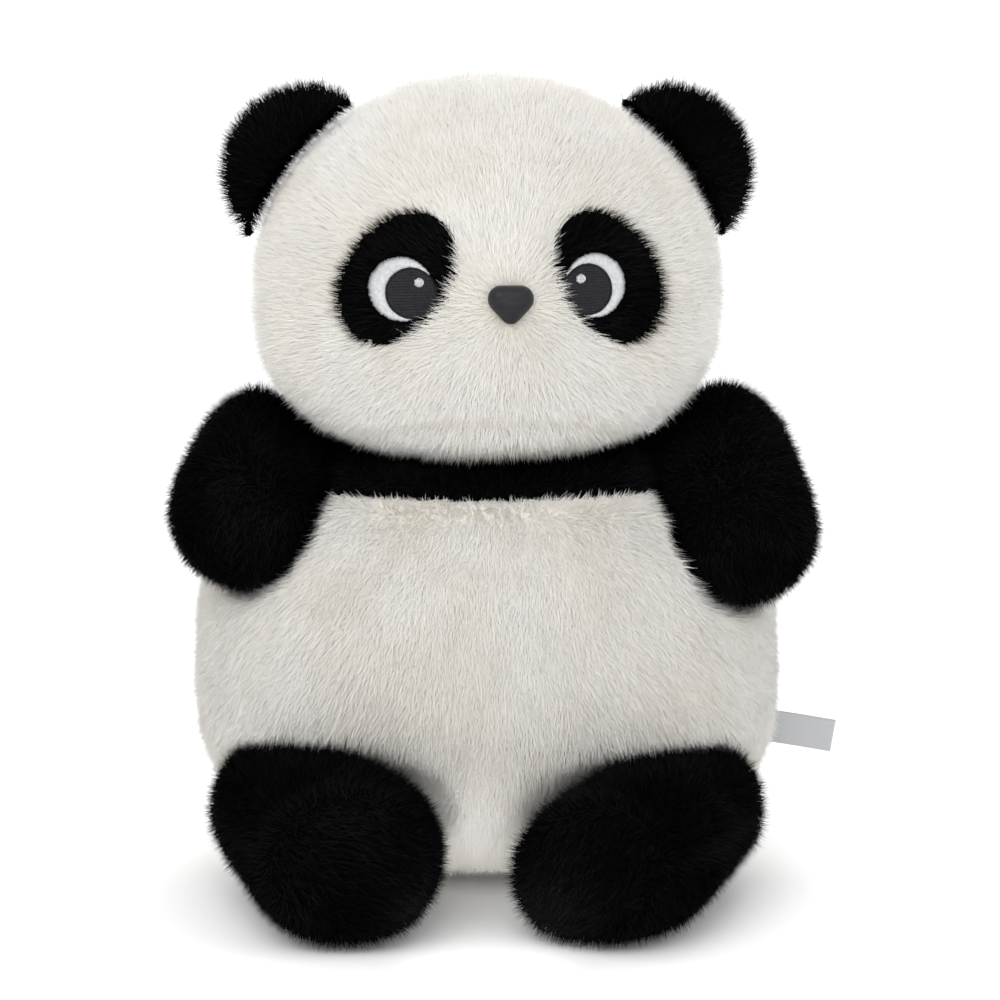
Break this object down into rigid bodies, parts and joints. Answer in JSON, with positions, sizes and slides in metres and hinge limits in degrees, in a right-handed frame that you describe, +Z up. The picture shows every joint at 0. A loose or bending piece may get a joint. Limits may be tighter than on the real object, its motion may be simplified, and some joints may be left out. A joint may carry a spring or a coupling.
{
  "type": "plush panda",
  "caption": "Seated plush panda toy with a round head that turns and nods, sewn arms, legs, ears and tail that flex, and a flat seat.",
  "frame": {"origin": "on the flat seat, in the toy's middle plane below the front half of the neck", "axes": "+Z up through the crown, -Y out of the belly, +X towards the toy's own left hand"},
  "size_m": [0.2656, 0.2503, 0.315],
  "materials": {
    "cream_plush": "matte",
    "black_plush": "matte",
    "white_thread": "satin",
    "dark_thread": "satin",
    "nose_plastic": "satin",
    "washer_plastic": "satin",
    "pouch_cloth": "matte",
    "bead_plastic": "satin",
    "label_tape": "satin",
    "stuffing": "matte"
  },
  "bodies": {
    "torso": {"belly_panel": "cream_plush", "right_back_panel": "cream_plush", "left_back_panel": "cream_plush", "chest_band": "black_plush", "shoulder_panel": "black_plush", "seat_panel": "cream_plush", "torso_stuffing": "stuffing", "bead_pouch_top": "pouch_cloth", "bead_pouch_bottom": "pouch_cloth", "beads": "bead_plastic"},
    "neck": {"neck_sleeve": "black_plush", "neck_stuffing": "stuffing"},
    "head": {"face_panel": "cream_plush", "chin_panel": "cream_plush", "right_head_panel": "cream_plush", "left_head_panel": "cream_plush", "head_stuffing": "stuffing", "right_eye_patch": "black_plush", "left_eye_patch": "black_plush", "right_eye_white": "white_thread", "left_eye_white": "white_thread", "right_iris": "dark_thread", "left_iris": "dark_thread", "right_glint": "white_thread", "left_glint": "white_thread", "nose": "nose_plastic", "nose_washer": "washer_plastic"},
    "right_ear": {"right_ear_front": "black_plush", "right_ear_back": "black_plush", "right_ear_stuffing": "stuffing"},
    "left_ear": {"left_ear_front": "black_plush", "left_ear_back": "black_plush", "left_ear_stuffing": "stuffing"},
    "right_arm": {"right_arm_outer": "black_plush", "right_arm_inner": "black_plush", "right_arm_stuffing": "stuffing"},
    "left_arm": {"left_arm_outer": "black_plush", "left_arm_inner": "black_plush", "left_arm_stuffing": "stuffing"},
    "right_leg": {"right_leg_upper": "black_plush", "right_leg_under": "black_plush", "right_foot_sole": "black_plush", "right_leg_stuffing": "stuffing"},
    "left_leg": {"left_leg_upper": "black_plush", "left_leg_under": "black_plush", "left_foot_sole": "black_plush", "left_leg_stuffing": "stuffing"},
    "tail": {"tail_panel": "cream_plush", "tail_stuffing": "stuffing"},
    "label": {"seam_label": "label_tape"}
  },
  "joints": [
    {"name": "head_turn", "type": "hinge", "parent": "torso", "child": "neck", "pos_m": [0, -0.002, 0.167], "axis": [0, 0, 1], "range_deg": [-10, 10], "stiffness_Nm_per_rad": 1.5},
    {"name": "head_nod", "type": "hinge", "parent": "neck", "child": "head", "pos_m": [0, -0.002, 0.167], "axis": [1, 0, 0], "range_deg": [-6, 8], "stiffness_Nm_per_rad": 4},
    {"name": "right_ear_flex", "type": "hinge", "parent": "head", "child": "right_ear", "pos_m": [-0.06867, -0.0166, 0.2763], "axis": [0.608, 0.0585, 0.7918], "range_deg": [-12, 12], "stiffness_Nm_per_rad": 0.2},
    {"name": "left_ear_flex", "type": "hinge", "parent": "head", "child": "left_ear", "pos_m": [0.06829, -0.00342, 0.2763], "axis": [0.608, 0.0585, -0.7918], "range_deg": [-12, 12], "stiffness_Nm_per_rad": 0.2},
    {"name": "right_arm_lift", "type": "hinge", "parent": "torso", "child": "right_arm", "pos_m": [-0.086, -0.01, 0.166], "axis": [-1, 0, 0], "range_deg": [0, 30], "stiffness_Nm_per_rad": 0.5},
    {"name": "left_arm_lift", "type": "hinge", "parent": "torso", "child": "left_arm", "pos_m": [0.09, -0.01, 0.166], "axis": [-1, 0, 0], "range_deg": [0, 30], "stiffness_Nm_per_rad": 0.5},
    {"name": "right_leg_splay", "type": "hinge", "parent": "torso", "child": "right_leg", "pos_m": [-0.081, -0.05, 0.034], "axis": [0, 0, -1], "range_deg": [-10, 18], "stiffness_Nm_per_rad": 0.8},
    {"name": "left_leg_splay", "type": "hinge", "parent": "torso", "child": "left_leg", "pos_m": [0.081, -0.05, 0.034], "axis": [0, 0, 1], "range_deg": [-10, 18], "stiffness_Nm_per_rad": 0.8},
    {"name": "tail_flex", "type": "hinge", "parent": "torso", "child": "tail", "pos_m": [0, 0.088, 0.046], "axis": [1, 0, 0], "range_deg": [-10, 10], "stiffness_Nm_per_rad": 0.1},
    {"name": "label_flap", "type": "hinge", "parent": "torso", "child": "label", "pos_m": [0.1169, 0.003, 0.054], "axis": [0.165, 0, 0.9863], "range_deg": [-50, 50], "stiffness_Nm_per_rad": 0.004}
  ]
}
